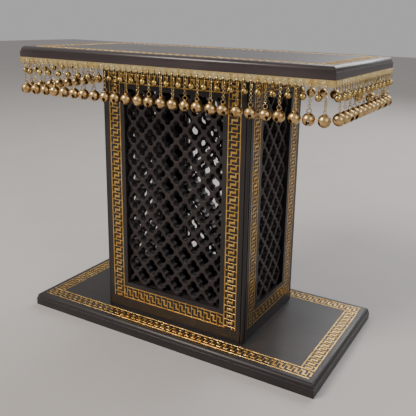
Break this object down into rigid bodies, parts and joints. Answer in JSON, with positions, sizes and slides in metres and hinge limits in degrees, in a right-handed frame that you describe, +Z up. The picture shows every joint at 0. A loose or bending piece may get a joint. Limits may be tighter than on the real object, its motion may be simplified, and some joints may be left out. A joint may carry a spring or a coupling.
{
  "type": "quran stand",
  "caption": "Small pedestal table stand with moulded boards, carved screen walls, brass key bands and a swinging fringe of round bells.",
  "frame": {"origin": "centre of the underside of the base board", "axes": "+Z up, front towards -Y, +X to the right seen from the front"},
  "size_m": [0.3924, 0.2024, 0.325],
  "materials": {
    "dark_lacquer": "satin lacquer",
    "brass_inlay": "polished",
    "brass_strip": "polished",
    "bell_brass": "brushed antique",
    "block_wood": "sawn",
    "screw_steel": "zinc plated"
  },
  "bodies": {
    "stand": {"base_board": "dark_lacquer", "top_board": "dark_lacquer", "base_key_front": "brass_inlay", "base_key_back": "brass_inlay", "base_key_left": "brass_inlay", "base_key_right": "brass_inlay", "top_key_front": "brass_inlay", "top_key_back": "brass_inlay", "top_key_left": "brass_inlay", "top_key_right": "brass_inlay", "corner_post_front_left": "dark_lacquer", "corner_post_front_right": "dark_lacquer", "corner_post_back_left": "dark_lacquer", "corner_post_back_right": "dark_lacquer", "front_stile_left": "dark_lacquer", "front_stile_right": "dark_lacquer", "back_stile_left": "dark_lacquer", "back_stile_right": "dark_lacquer", "left_stile_front": "dark_lacquer", "left_stile_back": "dark_lacquer", "right_stile_front": "dark_lacquer", "right_stile_back": "dark_lacquer", "front_rail_bottom": "dark_lacquer", "front_rail_top": "dark_lacquer", "back_rail_bottom": "dark_lacquer", "back_rail_top": "dark_lacquer", "left_rail_bottom": "dark_lacquer", "left_rail_top": "dark_lacquer", "right_rail_bottom": "dark_lacquer", "right_rail_top": "dark_lacquer", "screen_front": "dark_lacquer", "screen_back": "dark_lacquer", "screen_left": "dark_lacquer", "screen_right": "dark_lacquer", "pedestal_key_front": "brass_inlay", "pedestal_key_back": "brass_inlay", "pedestal_key_left": "brass_inlay", "pedestal_key_right": "brass_inlay", "brass_strip_front": "brass_strip", "brass_strip_back": "brass_strip", "brass_strip_left": "brass_strip", "brass_strip_right": "brass_strip", "base_blocks": "block_wood", "top_blocks": "block_wood", "base_screws": "screw_steel", "top_screws": "screw_steel", "strip_pins": "brass_strip"},
    "long_row_front": {"long_chains_front": "bell_brass", "long_bells_front": "bell_brass"},
    "short_row_front": {"short_pendants_front": "bell_brass"},
    "long_row_back": {"long_chains_back": "bell_brass", "long_bells_back": "bell_brass"},
    "short_row_back": {"short_pendants_back": "bell_brass"},
    "long_row_left": {"long_chains_left": "bell_brass", "long_bells_left": "bell_brass"},
    "short_row_left": {"short_pendants_left": "bell_brass"},
    "long_row_right": {"long_chains_right": "bell_brass", "long_bells_right": "bell_brass"},
    "short_row_right": {"short_pendants_right": "bell_brass"}
  },
  "joints": [
    {"name": "long_row_front_swing", "type": "hinge", "parent": "stand", "child": "long_row_front", "pos_m": [0, -0.09525, 0.3086], "axis": [-1, 0, 0], "range_deg": [-5, 25]},
    {"name": "short_row_front_swing", "type": "hinge", "parent": "stand", "child": "short_row_front", "pos_m": [0, -0.09525, 0.3086], "axis": [-1, 0, 0], "range_deg": [-20, 20]},
    {"name": "long_row_back_swing", "type": "hinge", "parent": "stand", "child": "long_row_back", "pos_m": [0, 0.09525, 0.3086], "axis": [1, 0, 0], "range_deg": [-5, 25]},
    {"name": "short_row_back_swing", "type": "hinge", "parent": "stand", "child": "short_row_back", "pos_m": [0, 0.09525, 0.3086], "axis": [1, 0, 0], "range_deg": [-20, 20]},
    {"name": "long_row_left_swing", "type": "hinge", "parent": "stand", "child": "long_row_left", "pos_m": [-0.19025, 0, 0.3086], "axis": [0, 1, 0], "range_deg": [-5, 25]},
    {"name": "short_row_left_swing", "type": "hinge", "parent": "stand", "child": "short_row_left", "pos_m": [-0.19025, 0, 0.3086], "axis": [0, 1, 0], "range_deg": [-20, 20]},
    {"name": "long_row_right_swing", "type": "hinge", "parent": "stand", "child": "long_row_right", "pos_m": [0.19025, 0, 0.3086], "axis": [0, -1, 0], "range_deg": [-5, 25]},
    {"name": "short_row_right_swing", "type": "hinge", "parent": "stand", "child": "short_row_right", "pos_m": [0.19025, 0, 0.3086], "axis": [0, -1, 0], "range_deg": [-20, 20]}
  ]
}
